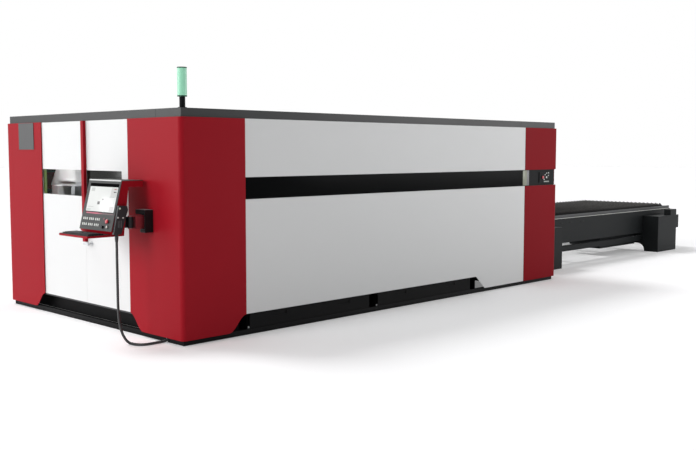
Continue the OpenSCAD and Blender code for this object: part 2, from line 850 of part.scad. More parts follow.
module console_module() {
  color("#2c2f31") in_frame() {
    xz(console_y - module_out, console_y) polygon([
      [swivel_x - 176, console_low + 1], [swivel_x - 122, console_low + 255], [swivel_x - 36, console_low + 251],
      [swivel_x - 27, console_low + 215], [swivel_x - 41, console_low + 180], [swivel_x - 100, console_low + 1]
    ]);
    // Cable outlet under the module
    translate([route[0][0], route[0][1], route[0][2]]) cylinder(d = cable_d + 5, h = console_low + 2 - route[0][2]);
  }
}

module keyboard_tray() {
  x0 = face_x - tray_out;
  color("#a3202a") in_frame() difference() {
    block([x0, console_y, console_low - tray_h], [back_low_x, console_y + tray_w, console_low]);
    block([x0 + sheet_t, console_y + sheet_t, console_low - tray_h - 1], [back_low_x - sheet_t, console_y + tray_w - sheet_t, console_low - sheet_t]);
  }
}

key = 17;
key_step = 20;

// Keyboard on its mat
module keyboard() {
  x0 = face_x - tray_out;
  color("#17181a") in_frame() {
    block([x0 + 3, console_y + 3, console_low], [face_low_x - 8, console_y + tray_w - 3, console_low + 4]);
    translate([x0 + 22, console_y + 24, console_low + 3]) {
      cube([150, tray_w - 48, 10]);
      for (i = [0 : 5], j = [0 : 20]) translate([14 + i * key_step, 12 + j * key_step, 9]) cube([key, key, 5]);
    }
  }
}

module stop_button() {
  color("#c4161c") in_frame() on_face() translate([stop_at[0], stop_at[1], 0]) {
    translate([0, 0, -20]) cylinder(d = stem_d, h = 30);
    translate([0, 0, 4 + button_travel]) cylinder(d1 = stop_d - 8, d2 = stop_d, h = 8, $fn = 64);
    translate([0, 0, 12 + button_travel]) cylinder(d1 = stop_d, d2 = stop_d - 12, h = 6, $fn = 64);
  }
}

module speed_knob() {
  color("#121314") in_frame() on_face() translate([knob_at[0], knob_at[1], 0]) {
    translate([0, 0, -20]) cylinder(d = stem_d, h = 21);
    difference() {
      translate([0, 0, 1]) cylinder(d = knob_d, h = 16);
      for (a = [0 : 45 : 315]) rotate([0, 0, a]) translate([knob_d / 2 + 1, 0, 4]) cylinder(r = 2.5, h = 14);
    }
  }
}

module start_button() {
  color("#cfd6cf") in_frame() on_face() translate([start_at[0], start_at[1], 0]) {
    translate([0, 0, -20]) cylinder(d = stem_d, h = 25);
    translate([0, 0, 1 + button_travel]) cylinder(d = 24, h = 6);
  }
}

// Arm between the wall and the console

module wall_bracket() {
  z0 = arm_z - ring_low - flange_low_t;
  z1 = arm_z + arm_h + ring_top + flange_t;
  color("#161718") in_frame() {
    block([-8, bracket_y, z0], [0, bracket_y + bracket_w, z1]);
    block([-bracket_out, bracket_y, z0], [0, bracket_y + web_t, z1]);
    block([-bracket_out, bracket_y, z1 - flange_t], [0, bracket_y + bracket_w, z1]);
    // Lower flange, narrower and rounded
    translate([-bracket_out, bracket_y, z0]) linear_extrude(flange_low_t) {
      square([bracket_out, flange_low_w - flange_r]);
      translate([flange_r, 0]) square([bracket_out - flange_r, flange_low_w]);
      translate([flange_r, flange_low_w - flange_r]) circle(flange_r);
    }
    // Pivot pin with its distance rings
    translate([-pivot_out, arm_y, z0 + flange_low_t - 1]) cylinder(d = pivot_d, h = arm_h + ring_low + ring_top + 12);
    translate([-pivot_out, arm_y, z0 + flange_low_t - 1]) cylinder(d = pivot_d + 14, h = ring_low + 1 - slide_gap);
    translate([-pivot_out, arm_y, arm_z + arm_h + slide_gap]) cylinder(d = pivot_d + 14, h = ring_top + 1 - slide_gap);
  }
}

module console_arm() {
  neck_x = swivel_x + 39;
  color("#7d1420") in_frame() {
    difference() {
      translate([0, 0, arm_z]) linear_extrude(arm_h) {
        translate([-pivot_out, arm_y]) circle(arm_w / 2);
        translate([neck_x, arm_y - arm_w / 2]) square([-pivot_out - neck_x, arm_w]);
      }
      translate([-pivot_out, arm_y, arm_z - 1]) cylinder(d = pivot_d + 2 * pin_clear, h = arm_h + 2);
    }
    // Tongues and pin that hold the swivel block
    for (z = [arm_z, arm_z + arm_h - tongue_t]) translate([0, 0, z]) linear_extrude(tongue_t) {
      translate([swivel_x, arm_y]) circle(22);
      translate([swivel_x, arm_y - 22]) square([neck_x - swivel_x + 1, 44]);
    }
    translate([swivel_x, arm_y, arm_z]) cylinder(d = swivel_d, h = arm_h);
  }
}

module console_knuckle() {
  z0 = arm_z + tongue_t + slide_gap;
  z1 = arm_z + arm_h - tongue_t - slide_gap;
  color("#161718") in_frame() difference() {
    union() {
      translate([0, 0, z0]) linear_extrude(z1 - z0) {
        translate([swivel_x, arm_y]) circle(24);
        translate([swivel_x - 24, arm_y]) square([48, 60]);
      }
      xz(console_y + 2, console_y + 130) polygon([
        [back_x(z0), z0], [back_x(z1), z1], [swivel_x - 10, z1], [swivel_x - 10, z0]
      ]);
    }
    translate([swivel_x, arm_y, z0 - 1]) cylinder(d = swivel_d + 2 * pin_clear, h = z1 - z0 + 2);
  }
}

// Conduit, swept along its route with a smooth curve through the route's points

function bend(a, b, c, d, t) =
  0.5 * (2 * b + (c - a) * t + (2 * a - 5 * b + 4 * c - d) * t * t + (3 * b - a - 3 * c + d) * t * t * t);
function route_at(i) = route[min(max(i, 0), len(route) - 1)];
function unit(v) = v / norm(v);
cable_line = concat(
  [for (i = [0 : len(route) - 2], k = [0 : cable_steps - 1])
    bend(route_at(i - 1), route_at(i), route_at(i + 1), route_at(i + 2), k / cable_steps)],
  [route[len(route) - 1]]
);
cable_n = len(cable_line);
function way(i) = unit(cable_line[min(i + 1, cable_n - 1)] - cable_line[max(i - 1, 0)]);
function ring(i) = let (w = way(i), u = unit(cross(w, [0.3, 1, 0.1])), v = cross(w, u))
  [for (k = [0 : cable_sides - 1]) let (a = 360 * k / cable_sides)
    cable_line[i] + cable_d / 2 * (cos(a) * u + sin(a) * v)];

module cable() {
  s = cable_sides;
  color("#151617") in_frame() polyhedron(
    points = [for (i = [0 : cable_n - 1]) each ring(i)],
    faces = concat(
      [[for (k = [0 : s - 1]) k]],
      [for (i = [0 : cable_n - 2], k = [0 : s - 1]) [i * s + k, (i + 1) * s + k, (i + 1) * s + (k + 1) % s, i * s + (k + 1) % s]],
      [[for (k = [s - 1 : -1 : 0]) (cable_n - 1) * s + k]]
    )
  );
}

module cable_gland() {
  p = route[len(route) - 1];
  color("#303234") in_frame() translate(p) rotate([0, 90, 0]) {
    cylinder(d = cable_d + 6, h = 12);
    translate([0, 0, 11]) cylinder(d = cable_d + 14, h = base_x[0] - p[0] - 11, $fn = 6);
  }
}

// Bed and gantry

module pallet_rail(x0, x1, y, z) {
  block([x0, y, z - 10], [x1, rail_in, z]);
  block([x0, y, z - 10 - ledge_leg], [x1, y + 6, z - 9]);
}

module bed_frame() {
  color("#303234") in_frame() {
    both_sides() {
      difference() {
        block([bed_x0, bed_y, base_top], [bed_x1, table_y, bed_top]);
        block([bed_x0 - 1, bed_y + bed_wall, base_top + bed_wall], [bed_x1 + 1, table_y - bed_wall, bed_top - bed_wall]);
        // Lightening windows on the outer wall
        for (x = [bed_x0 + 300 : 900 : bed_x1 - 700])
          block([x, bed_y - 1, base_top + 200], [x + 500, bed_y + bed_wall + 1, bed_top - 260]);
      }
      pallet_rail(lower_x - 50, cabin_l - 3, table_y, upper_rail_z);
      pallet_rail(lower_x - 50, cabin_l - 3, table_y, lower_rail_z);
    }
    for (i = [1 : 4]) tube_y(table_y - 1, cabin_w - table_y + 1, base_x[i], base_top, 100, 6);
  }
}

module rail_section() {
  polygon([[0, 0], [rail_w, 0], [rail_w, rail_h * 0.35], [rail_w - 5, rail_h * 0.5], [rail_w, rail_h * 0.65],
    [rail_w, rail_h], [0, rail_h], [0, rail_h * 0.65], [5, rail_h * 0.5], [0, rail_h * 0.35]]);
}

module gantry_rails() {
  color("#8c8f92") in_frame() both_sides() {
    yz(bed_x0 + 20, bed_x1 - 20) translate([rail_y, bed_top]) rail_section();
    block([bed_x0 + 20, rail_y + rail_w + 30, bed_top], [bed_x1 - 20, rail_y + rail_w + 55, bed_top + 28]);
  }
}

module gantry() {
  z0 = bed_top + rail_h + slide_gap;
  color("#e4e6e6") in_frame() {
    yz(gantry_x, gantry_x + gantry_w) polygon([
      [gantry_y0, gantry_z], [cabin_w - gantry_y0, gantry_z],
      [cabin_w - gantry_y0 - gantry_rake, gantry_z + gantry_h], [gantry_y0 + gantry_rake, gantry_z + gantry_h]
    ]);
    both_sides() {
      // End carriage with two guide blocks over the rail
      block([gantry_x - 50, rail_y - end_side, z0 + 30], [gantry_x - 50 + end_l, rail_y + rail_w + end_side + 20, gantry_z]);
      for (x = [gantry_x - 40, gantry_x + end_l - 60 - guide_l]) difference() {
        block([x, rail_y - guide_side, bed_top + 10], [x + guide_l, rail_y + rail_w + guide_side, z0 + 31]);
        block([x - 1, rail_y - guide_fit, bed_top], [x + guide_l + 1, rail_y + rail_w + guide_fit, z0]);
      }
      // Drive motor behind the beam
      translate([gantry_x + gantry_w + 50, rail_y + rail_w / 2, gantry_z]) cylinder(d = gantry_motor_d, h = gantry_motor_h);
    }
    // Rails of the cross carriage
    for (z = [gantry_z + 50, gantry_z + gantry_h - 46 - cross_rail_w])
      block([gantry_x - cross_rail_t, gantry_y0 + gantry_rake, z], [gantry_x, cabin_w - gantry_y0 - gantry_rake, z + cross_rail_w]);
  }
}

module cross_carriage() {
  x1 = gantry_x - cross_rail_t - 0.5;
  color("#dfe1e2") in_frame() {
    block([x1 - carriage_d, carriage_y - carriage_l / 2, gantry_z - 40], [x1, carriage_y + carriage_l / 2, gantry_z + gantry_h + 10]);
    // Upright guide of the head
    block([x1 - carriage_d - slide_t, carriage_y - slide_w / 2, gantry_z - 40],
      [x1 - carriage_d + 1, carriage_y + slide_w / 2, gantry_z + gantry_h - 20]);
  }
}

module cutting_head() {
  x1 = gantry_x - cross_rail_t - carriage_d - slide_t - 1;
  x0 = x1 - head_plate_t;
  z1 = gantry_z + 60;
  color("#9b9ea1") in_frame() {
    block([x0, carriage_y - head_plate_w / 2, gantry_z - head_drop], [x1, carriage_y + head_plate_w / 2, z1]);
    block([x0 - head_w, carriage_y - head_w / 2, gantry_z - 2 * head_drop], [x0 + 1, carriage_y + head_w / 2, z1 - 40]);
    translate([x0 - head_w / 2, carriage_y, 0]) {
      translate([0, 0, tip_z + 70]) cylinder(d = head_w - 12, h = gantry_z - 2 * head_drop + 1 - tip_z - 70);
      translate([0, 0, tip_z]) cylinder(d1 = 8, d2 = head_w - 12, h = 71, $fn = 64);
    }
  }
}

module extraction_duct() {
  y0 = cabin_w - bed_y;
  color("#a9acae") in_frame() translate([duct_x, y0, duct_z]) rotate([-90, 0, 0]) difference() {
    union() {
      cylinder(d = duct_d + 2 * duct_wall, h = bed_y - white_inset);
      cylinder(d = duct_d + 60, h = 8);
    }
    translate([0, 0, -1]) cylinder(d = duct_d, h = bed_y + 2);
  }
}

// Slag drawers in the plinth, drawn out at the near side

module drawer(x) {
  x0 = x + base_beam_w + drawer_side;
  z1 = drawer_z + drawer_h;
  difference() {
    block([x0, base_y0 - 14, drawer_z], [x0 + drawer_w, base_y0 + drawer_l, z1]);
    block([x0 + drawer_t, base_y0 - 14 + drawer_t, drawer_z + drawer_t], [x0 + drawer_w - drawer_t, base_y0 + drawer_l - drawer_t, z1 + 1]);
  }
  for (x2 = [x0 - drawer_flange, x0 + drawer_w - drawer_t])
    block([x2, base_y0 - 14, z1 - drawer_t], [x2 + drawer_flange + drawer_t, base_y0 + drawer_l, z1]);
  // Front plate with two hand slots
  difference() {
    block([x0 - drawer_side + 8, base_y0 - 20, drawer_z - 6], [x0 + drawer_w + drawer_side - 8, base_y0 - 12, z1 + 6]);
    for (x3 = [x0 + 260, x0 + drawer_w - 420])
      block([x3, base_y0 - 30, z1 - 50], [x3 + 160, base_y0, z1 - 16]);
  }
}

module slag_drawer_front() { color("#202224") in_frame() drawer(base_x[1]); }
module slag_drawer_rear() { color("#202224") in_frame() drawer(base_x[2]); }

// Pallets; a level is given by its rail's height

module pallet(x, z) {
  color("#3a3c3d") in_frame() translate([x, pallet_y, z]) {
    for (k = [0, 1]) translate([0, k * pallet_w, 0]) mirror([0, k, 0]) {
      block([0, 0, frame_z], [pallet_l, pallet_side, frame_z + pallet_h]);
      block([1, 0, slat_foot - ledge_h], [pallet_l - 1, pallet_side + slat_ledge, slat_foot]);
      // Wheels in their forks
      for (i = [0 : 3]) translate([pallet_end / 2 + i * (pallet_l - pallet_end) / 3, 0, slide_gap + wheel_d / 2]) {
        translate([0, pallet_side + 3, 0]) rotate([-90, 0, 0]) cylinder(d = wheel_d, h = 20);
        translate([0, pallet_side - 6, 0]) rotate([-90, 0, 0]) cylinder(d = 14, h = 38);
        for (y = [pallet_side - 8, pallet_side + 25])
          block([-20, y, -14], [20, y + 7, slat_foot - slide_gap - wheel_d / 2 - 1]);
      }
    }
    // Closed frame at each end
    for (x1 = [0, pallet_l - pallet_end]) difference() {
      block([x1, 0, frame_z], [x1 + pallet_end, pallet_w, frame_z + pallet_h - 5]);
      block([x1 + 8, pallet_side, frame_z - 1], [x1 + pallet_end - 8, pallet_w - pallet_side, frame_z + pallet_h - 13]);
    }
    // Long bars under the slats
    for (y = [pallet_w / 3, 2 * pallet_w / 3])
      block([pallet_end - 1, y - 15, frame_z], [pallet_l - pallet_end + 1, y + 15, slat_foot]);
  }
}

// One slat's outline: saw teeth along its top
module slat_outline() {
  p = slat_l / tooth_n;
  polygon(concat(
    [[0, slat_foot]],
    [for (i = [0 : tooth_n - 1]) each [[i * p, slat_top - tooth_d], [(i + 0.5) * p, slat_top]]],
    [[slat_l, slat_top - tooth_d], [slat_l, slat_foot]]
  ));
}

module slats(x, z) {
  color("#55585a") in_frame() for (i = [0 : slat_n - 1])
    translate([x + slat_x0 + i * slat_pitch, pallet_y + pallet_side + slat_gap, z]) yz(0, slat_t) slat_outline();
}

module upper_pallet() { pallet(upper_x, upper_rail_z); }
module upper_slats() { slats(upper_x, upper_rail_z); }
module lower_pallet() { pallet(lower_x, lower_rail_z); }
module lower_slats() { slats(lower_x, lower_rail_z); }

// Exchange table

module table_frame() {
  color("#333537") in_frame() {
    both_sides() {
      block([table_x0, web_y, beam_low], [table_end, beam_in, beam_top]);
      block([table_x0, table_y, beam_top - band_h], [table_end, web_y + 1, beam_top]);
      pallet_rail(cabin_l - 3 + slide_gap, table_end - 20, beam_in, upper_rail_z);
      pallet_rail(cabin_l - 3 + slide_gap, table_end - 20, beam_in, lower_rail_z);
      // Bearing block of the drive shaft
      difference() {
        block([shaft_x - 30, beam_in - 1, shaft_z - 30], [shaft_x + 30, beam_in + 30, shaft_z + 30]);
        cross_y(shaft_x, beam_in, shaft_z, shaft_d + 2 * pin_clear, 31);
      }
    }
    for (x = cross_x) tube_y(beam_in - 1, cabin_w - beam_in + 1, x, beam_low, cross_s, 6);
  }
}

// Arched plate between a pair of legs, under the beams
module leg_arch(x) {
  yz(x, x + arch_t) {
    translate([leg_in - 1, arch_z]) square([cabin_w - 2 * leg_in + 2, beam_low - arch_z]);
    for (k = [0, 1]) translate([k * cabin_w, 0]) mirror([k, 0]) difference() {
      translate([leg_in - 1, arch_z - arch_r]) square([arch_r + 1, arch_r + 1]);
      translate([leg_in + arch_r, arch_z - arch_r]) circle(arch_r);
    }
  }
}

module table_legs() {
  color("#2c2e30") in_frame() {
    for (x = leg_x) {
      both_sides() {
        difference() {
          block([x, table_y - leg_out, 0], [x + leg_l, leg_in, leg_h]);
          block([x + 10, table_y - leg_out + 10, -1], [x + leg_l - 10, leg_in - 10, leg_h - 10]);
        }
        // Shoulder against the beam
        block([x, leg_in - 1, beam_low], [x + leg_l, web_y, leg_h]);
      }
      leg_arch(x);
    }
    // Lower tie tubes between the arches
    both_sides() tube_x(leg_x[0] + arch_t - 1, leg_x[1] + 1, beam_in - 3, tie_z, tie_tube);
    // Switch box and end plate on the near leg box at the table's end
    block([leg_x[1] + leg_l - 224, table_y - leg_out, leg_h - 1], [leg_x[1] + leg_l - 7, table_y - leg_out + 120, leg_h + 100]);
    block([leg_x[1] + leg_l - 1, table_y - leg_out, leg_h - 225], [leg_x[1] + leg_l + 83, table_y - leg_out + 8, leg_h]);
  }
}

module drive_housing() {
  color("#25272a") in_frame() {
    block([shaft_x + 250 - drive_l, beam_in + 120, beam_low - drive_h], [shaft_x + 250, beam_in + 120 + drive_w, beam_low]);
    translate([shaft_x + 350 - drive_l, beam_in + 119 + drive_w, beam_low - drive_h / 2])
      rotate([-90, 0, 0]) cylinder(d = drive_motor_d, h = drive_motor_l);
  }
}

module sprocket() {
  n = 13;
  difference() {
    cylinder(d = sprocket_d, h = 10);
    for (i = [0 : n - 1]) rotate([0, 0, i * 360 / n]) translate([sprocket_d / 2 + 1, 0, -1]) cylinder(d = 11, h = 12);
  }
}

module drive_shaft() {
  color("#8a8d90") in_frame() {
    cross_y(shaft_x, beam_in + 2, shaft_z, shaft_d, cabin_w - 2 * beam_in - 4);
    both_sides() translate([shaft_x, beam_in + 60, shaft_z]) rotate([-90, 0, 0]) sprocket();
  }
}

base_frame();
levelling_feet();
cabin_frame();
front_corner_near();
front_corner_far();
rear_corner_near_upper();
rear_corner_near_lower();
rear_corner_far_upper();
rear_corner_far_lower();
side_panel_near_upper();
side_panel_near_lower();
side_panel_far_upper();
side_panel_far_lower();
window_strip_near();
window_strip_far();
roof();
rear_header();
rear_shutter();
rear_control_panel();
rear_stop_button();
rear_white_button();
left_door();
left_door_glass();
right_door();
right_door_glass();
door_trim();
door_handle();
blank_plate();
signal_pole();
signal_lamp();
wall_bracket();
console_arm();
console_knuckle();
console_housing();
console_face();
console_screen();
console_module();
keyboard_tray();
keyboard();
stop_button();
speed_knob();
start_button();
cable();
cable_gland();
bed_frame();
gantry_rails();
gantry();
cross_carriage();
cutting_head();
extraction_duct();
slag_drawer_front();
slag_drawer_rear();
upper_pallet();
upper_slats();
lower_pallet();
lower_slats();
table_frame();
table_legs();
drive_housing();
drive_shaft();
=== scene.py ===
import math

import bpy
from mathutils import Matrix, Vector


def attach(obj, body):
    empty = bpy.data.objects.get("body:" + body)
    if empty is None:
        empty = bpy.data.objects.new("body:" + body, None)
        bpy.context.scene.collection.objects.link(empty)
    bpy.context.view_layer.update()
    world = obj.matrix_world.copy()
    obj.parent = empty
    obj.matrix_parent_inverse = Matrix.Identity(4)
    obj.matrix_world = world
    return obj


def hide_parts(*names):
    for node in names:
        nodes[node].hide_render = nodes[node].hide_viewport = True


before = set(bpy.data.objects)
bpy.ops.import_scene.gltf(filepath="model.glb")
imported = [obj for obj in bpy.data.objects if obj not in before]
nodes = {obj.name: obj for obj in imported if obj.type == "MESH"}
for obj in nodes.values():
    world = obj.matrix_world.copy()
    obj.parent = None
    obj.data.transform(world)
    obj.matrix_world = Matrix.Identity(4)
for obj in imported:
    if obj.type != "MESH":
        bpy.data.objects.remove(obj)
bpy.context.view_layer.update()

# The camera stands off the cabin's near front corner at eye height, with a normal lens,
# and looks slightly down along the long side.
camera = bpy.data.objects.new("camera", bpy.data.cameras.new("camera"))
bpy.context.scene.collection.objects.link(camera)
camera.location = (-9.9348, -8.2353, 1.7308)
camera.rotation_euler = (math.radians(90 - 4.671), math.radians(-0.0532), math.radians(44.48 - 90))
camera.data.lens = 47.293
camera.data.sensor_width = 36
camera.data.clip_end = 200
bpy.context.scene.camera = camera

# The studio floor is a wide pale sheet. What the camera, a gloss or a glass sees of it is lifted
# to white by a little of its own light, so that only the machine's soft shadow shows on it.


def linear(code):
    """A colour written as a six-figure code, as linear red, green, blue and alpha."""
    parts = [int(code[i:i + 2], 16) / 255 for i in (0, 2, 4)]
    return tuple(((p + 0.055) / 1.055) ** 2.4 if p > 0.04045 else p / 12.92 for p in parts) + (1,)


def new_material(name):
    """An empty material, with its nodes, its links and its shader."""
    material = bpy.data.materials.new(name)
    material.use_nodes = True
    return material, material.node_tree.nodes, material.node_tree.links, material.node_tree.nodes["Principled BSDF"]


def seen_strength(tree_nodes, tree_links, unseen, seen):
    """A strength that has one value for camera, gloss and glass rays and another for the rest."""
    rays = tree_nodes.new("ShaderNodeLightPath")
    found = rays.outputs["Is Camera Ray"]
    for kind in ("Is Glossy Ray", "Is Transmission Ray"):
        either = tree_nodes.new("ShaderNodeMath")
        either.operation = "MAXIMUM"
        tree_links.new(found, either.inputs[0])
        tree_links.new(rays.outputs[kind], either.inputs[1])
        found = either.outputs[0]
    span = tree_nodes.new("ShaderNodeMapRange")
    span.inputs["To Min"].default_value = unseen
    span.inputs["To Max"].default_value = seen
    tree_links.new(found, span.inputs["Value"])
    return span.outputs["Result"]


bpy.ops.object.select_all(action="DESELECT")
bpy.ops.mesh.primitive_plane_add(size=160, location=(0, 0, 0))
floor = bpy.context.object
floor.name = "floor"
floor_paint, floor_nodes, floor_links, floor_shader = new_material("floor_paint")
floor_shader.inputs["Base Color"].default_value = (0.86, 0.86, 0.87, 1)
floor_shader.inputs["Roughness"].default_value = 0.8
floor_shader.inputs["Specular IOR Level"].default_value = 0.1
floor_shader.inputs["Emission Color"].default_value = (1, 1, 1, 1)
floor_lift = 0.2
floor_links.new(seen_strength(floor_nodes, floor_links, 0.0, floor_lift), floor_shader.inputs["Emission Strength"])
floor.data.materials.append(floor_paint)

# The room is a soft white that lights the machine evenly. A broad high light from the far side lays
# the shadow along the near one, a low one lights the operator's end, and soft lamps give the gloss.
bpy.context.scene.view_settings.view_transform = "Standard"
room = bpy.data.worlds.new("room")
bpy.context.scene.world = room
room.use_nodes = True
room_back = room.node_tree.nodes["Background"]
room_back.inputs["Color"].default_value = (1, 1, 1, 1)
room_light, room_white = 0.38, 1.0
room_tree = room.node_tree
room_strength = seen_strength(room_tree.nodes, room_tree.links, room_light, room_white)
room_tree.links.new(room_strength, room_back.inputs["Strength"])
corner_x, corner_y = -5.295, -1.651


def at(x, y, z):
    """A place measured in millimetres from the cabin's near front corner, in the row frame."""
    return Vector((corner_x + x / 1000, corner_y + y / 1000, z / 1000))


def studio_lamp(name, kind, place, aim, energy):
    lamp = bpy.data.objects.new(name, bpy.data.lights.new(name, kind))
    lamp.data.energy = energy
    lamp.location = place
    lamp.rotation_euler = (Vector(aim) - Vector(place)).to_track_quat("-Z", "Y").to_euler()
    lamp.visible_camera = False
    bpy.context.scene.collection.objects.link(lamp)
    return lamp


high_light = studio_lamp("high_light", "SUN", (-2.2, 7.6, 10), (0, 0, 0), 1.65)
high_light.data.angle = math.radians(20)
end_light = studio_lamp("end_light", "SUN", (-12, 1, 4), (0, 0, 0), 1.38)
end_light.data.angle = math.radians(26)
end_lamp = studio_lamp("end_lamp", "AREA", (-15, 9, 3), (-5.3, 0, 1), 460)
end_lamp.data.shape = "RECTANGLE"
end_lamp.data.size, end_lamp.data.size_y = 7, 4
side_lamp = studio_lamp("side_lamp", "AREA", (7, -9, 2.5), (3.2, -1.6, 0.8), 290)
side_lamp.data.shape = "RECTANGLE"
side_lamp.data.size, side_lamp.data.size_y = 6, 3
room_lamp = studio_lamp("cutting_room_lamp", "AREA", at(180, 2350, 1900), at(330, 2350, 1450), 4)
room_lamp.data.shape = "RECTANGLE"
room_lamp.data.size, room_lamp.data.size_y = 0.9, 0.12
room_lamp.data.spread = math.radians(75)

# Conduit: ribbed black plastic hose that drops from the console's side module, lies on the floor
# and goes back under the cabin into its gland. A short tapered sleeve guards its upper end.
conduit_width = 0.025
conduit_route = [
    (-330, 515, 964), (-330, 515, 900), (-330, 515, 700), (-330, 514, 500), (-330, 512, 350), (-326, 506, 220),
    (-312, 492, 120), (-288, 470, 50), (-266, 442, 18), (-258, 405, 13), (-252, 365, 13), (-232, 326, 13),
    (-190, 302, 13), (-130, 294, 13), (-60, 295, 13), (0, 298, 14), (40, 300, 22), (75, 300, 35), (100, 300, 40),
    (112, 300, 40),
]


def smooth_line(points, steps):
    """A smooth line through the points."""
    line = []
    for i in range(len(points) - 1):
        a, b, c, d = (points[min(max(j, 0), len(points) - 1)] for j in (i - 1, i, i + 1, i + 2))
        for k in range(steps):
            t = k / steps
            bend = (2 * a - 5 * b + 4 * c - d) * t * t + (3 * b - a - 3 * c + d) * t ** 3
            line.append(0.5 * (2 * b + (c - a) * t + bend))
    return line + [points[-1]]


def hose_mesh(name, line, radii, sides):
    """A closed hose along the line, with its own radius at each point."""
    verts, faces = [], []
    u = Vector((0, 1, 0))
    for i, p in enumerate(line):
        way = (line[min(i + 1, len(line) - 1)] - line[max(i - 1, 0)]).normalized()
        u = (u - way * u.dot(way)).normalized()
        v = way.cross(u)
        for k in range(sides):
            a = 2 * math.pi * k / sides
            verts.append(p + (u * math.cos(a) + v * math.sin(a)) * radii[i])
    for i in range(len(line) - 1):
        for k in range(sides):
            j = (k + 1) % sides
            faces.append((i * sides + k, i * sides + j, (i + 1) * sides + j, (i + 1) * sides + k))
    faces.append(tuple(range(sides - 1, -1, -1)))
    faces.append(tuple((len(line) - 1) * sides + k for k in range(sides)))
    mesh = bpy.data.meshes.new(name)
    mesh.from_pydata(verts, [], faces)
    mesh.update()
    piece = bpy.data.objects.new(name, mesh)
    bpy.context.scene.collection.objects.link(piece)
    return piece


def fine_noise(tree_nodes, tree_links, shader, scale, bump, stretch=(1, 1, 1)):
    """A fine relief in Object coordinates. Gives back the nodes of the place and of the noise."""
    place = tree_nodes.new("ShaderNodeTexCoord")
    turn = tree_nodes.new("ShaderNodeMapping")
    turn.inputs["Scale"].default_value = stretch
    grain = tree_nodes.new("ShaderNodeTexNoise")
    grain.inputs["Scale"].default_value = scale
    grain.inputs["Detail"].default_value = 3
    relief = tree_nodes.new("ShaderNodeBump")
    relief.inputs["Strength"].default_value = bump
    relief.inputs["Distance"].default_value = 0.001
    tree_links.new(place.outputs["Object"], turn.inputs["Vector"])
    tree_links.new(turn.outputs["Vector"], grain.inputs["Vector"])
    tree_links.new(grain.outputs["Fac"], relief.inputs["Height"])
    tree_links.new(relief.outputs["Normal"], shader.inputs["Normal"])
    return place, grain


conduit_steps, rib_depth = 20, 0.0013
conduit_line = smooth_line([at(*p) for p in conduit_route], conduit_steps)
conduit_ribs = [conduit_width / 2 - (rib_depth if i % 2 else 0) for i in range(len(conduit_line))]
conduit = hose_mesh("conduit", conduit_line, conduit_ribs, 20)
black_hose, hose_nodes, hose_links, hose_shader = new_material("black_hose")
hose_shader.inputs["Base Color"].default_value = linear("1C1D1F")
hose_shader.inputs["Roughness"].default_value = 0.42
fine_noise(hose_nodes, hose_links, hose_shader, 600, 0.15)
conduit.data.materials.append(black_hose)
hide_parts("cable")
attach(conduit, "machine")
sleeve_rings, sleeve_radius, sleeve_taper, sleeve_groove = 15, 0.0178, 0.0003, 0.0012
sleeve_line = [at(-330, 515, 963 - 3 * i) for i in range(sleeve_rings)]
sleeve_radii = [sleeve_radius - sleeve_taper * i - (sleeve_groove if i % 3 == 1 else 0) for i in range(sleeve_rings)]
sleeve = hose_mesh("conduit_sleeve", sleeve_line, sleeve_radii, 24)
sleeve.data.materials.append(black_hose)
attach(sleeve, "machine")

# Red housings: folded steel sheet with a satin red powder coat, which wraps the cabin's corners.
# The coat has a fine orange peel and drifts a little in depth over each sheet.


def powder_coat(name, colour, roughness, specular=0.5, vary=0.04, peel=0.03, metal=0.0):
    """A coat with a fine peel, whose colour and gloss drift a little over the sheet."""
    material, mat_nodes, mat_links, shader = new_material(name)
    place = fine_noise(mat_nodes, mat_links, shader, 420, peel)[0]
    drift = mat_nodes.new("ShaderNodeTexNoise")
    drift.inputs["Scale"].default_value = 1.1
    drift.inputs["Detail"].default_value = 4
    mix = mat_nodes.new("ShaderNodeMix")
    mix.data_type = "RGBA"
    base = linear(colour)
    mix.inputs["A"].default_value = tuple(c * (1 - vary) for c in base[:3]) + (1,)
    mix.inputs["B"].default_value = tuple(min(1, c * (1 + vary)) for c in base[:3]) + (1,)
    mat_links.new(place.outputs["Object"], drift.inputs["Vector"])
    mat_links.new(drift.outputs["Fac"], mix.inputs["Factor"])
    mat_links.new(mix.outputs["Result"], shader.inputs["Base Color"])
    gloss = mat_nodes.new("ShaderNodeMapRange")
    gloss.inputs["To Min"].default_value = roughness - 0.04
    gloss.inputs["To Max"].default_value = roughness + 0.04
    mat_links.new(drift.outputs["Fac"], gloss.inputs["Value"])
    mat_links.new(gloss.outputs["Result"], shader.inputs["Roughness"])
    shader.inputs["Metallic"].default_value = metal
    shader.inputs["Specular IOR Level"].default_value = specular
    return material


def dress(material, *names):
    """Gives CAD nodes their material."""
    for name in names:
        nodes[name].data.materials.clear()
        nodes[name].data.materials.append(material)


red_coat = powder_coat("red_coat", "961521", 0.42, specular=0.055)
dress(red_coat, "front_corner_near", "front_corner_far", "door_trim", "console_housing", "keyboard_tray")
# The rear corners take a darker copy of the red coat: painted shade.
dress(powder_coat("red_coat_rear_shaded", "86121C", 0.45, specular=0.03), "rear_corner_near_upper",
      "rear_corner_near_lower", "rear_corner_far_upper", "rear_corner_far_lower")

# White panels, doors and rear header: folded steel sheet with a smooth white powder coat.
# The doors hang in their tracks behind the housings.
white_coat = powder_coat("white_coat", "DADBDB", 0.45, specular=0.25, vary=0.012, peel=0.015)
dress(white_coat, "side_panel_near_upper", "side_panel_near_lower", "side_panel_far_upper", "side_panel_far_lower",
      "rear_header", "left_door", "right_door")

# Window strips: black glass in a shallow recess along both long sides. The near one ends in a
# grey-green polished edge beside the rear control panel.
black_glass = powder_coat("black_glass", "090A0B", 0.14, specular=0.015, vary=0.1, peel=0.004)
dress(black_glass, "window_strip_near", "window_strip_far")


